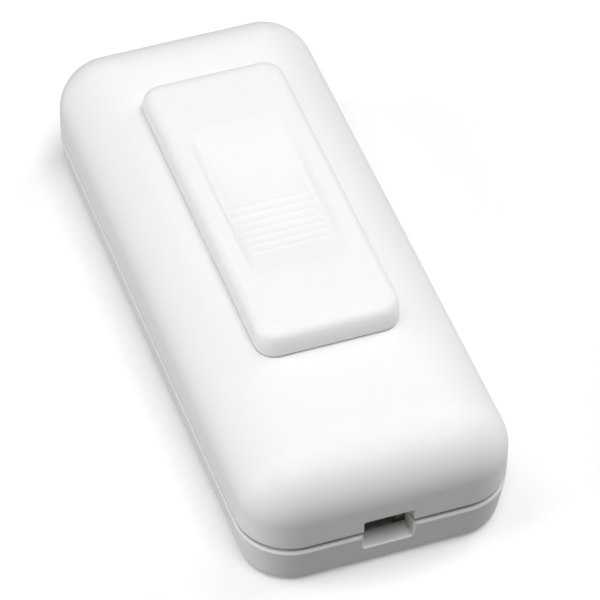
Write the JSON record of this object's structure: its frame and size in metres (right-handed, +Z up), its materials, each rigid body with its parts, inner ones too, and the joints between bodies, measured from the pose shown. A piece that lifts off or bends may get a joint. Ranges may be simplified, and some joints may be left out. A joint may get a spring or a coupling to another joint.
{
  "type": "in-line cord switch with slide plate",
  "caption": "Flat-bottomed in-line switch for flat cord: two-part white housing with soft edges, a sliding thumb plate with a ribbed scoop, and a cord entry at each end.",
  "frame": {"origin": "centre of the housing's flat underside", "axes": "+Y along the housing's length, towards the end where the thumb plate rests (off); +X across its width; +Z up, out of the top face"},
  "size_m": [0.03, 0.072, 0.0187],
  "materials": {
    "housing_white": "fine matte moulded white",
    "thumb_plate_white": "satin moulded white",
    "carriage_plastic": "natural moulded",
    "brass": "machined",
    "contact_bronze": "stamped bronze",
    "zinc_plated_steel": "zinc plated",
    "spring_steel": "drawn wire and strip",
    "vulcanised_fibre": "pressed dark grey fibre"
  },
  "bodies": {
    "housing": {"lower_housing": "housing_white", "upper_housing": "housing_white", "detent_spring_left": "spring_steel", "detent_spring_right": "spring_steel", "cord_clamp_front": "vulcanised_fibre", "housing_screw_front": "zinc_plated_steel", "terminal_front_left": "brass", "terminal_screw_front_left": "zinc_plated_steel", "clamp_screw_front_left": "brass", "clamp_nut_front_left": "brass", "terminal_front_right": "brass", "terminal_screw_front_right": "zinc_plated_steel", "clamp_screw_front_right": "brass", "clamp_nut_front_right": "brass", "cord_clamp_back": "vulcanised_fibre", "housing_screw_back": "zinc_plated_steel", "terminal_back_left": "brass", "terminal_screw_back_left": "zinc_plated_steel", "clamp_screw_back_left": "brass", "clamp_nut_back_left": "brass", "terminal_back_right": "brass", "terminal_screw_back_right": "zinc_plated_steel", "clamp_screw_back_right": "brass", "clamp_nut_back_right": "brass"},
    "slider": {"thumb_plate": "thumb_plate_white", "contact_carriage": "carriage_plastic", "bridge_spring_left": "spring_steel", "bridge_spring_right": "spring_steel"},
    "bridge_left": {"contact_bridge_left": "contact_bronze"},
    "bridge_right": {"contact_bridge_right": "contact_bronze"}
  },
  "joints": [
    {"name": "slider_travel", "type": "slide", "parent": "housing", "child": "slider", "axis": [0, -1, 0], "range_m": [0, 0.0054], "deforming": ["detent_spring_left", "detent_spring_right"]},
    {"name": "contact_float_left", "type": "slide", "parent": "slider", "child": "bridge_left", "axis": [0, 0, 1], "range_m": [0, 0.0006], "stiffness_N_per_m": 300, "deforming": ["bridge_spring_left"]},
    {"name": "contact_float_right", "type": "slide", "parent": "slider", "child": "bridge_right", "axis": [0, 0, 1], "range_m": [0, 0.0006], "stiffness_N_per_m": 300, "deforming": ["bridge_spring_right"]}
  ]
}
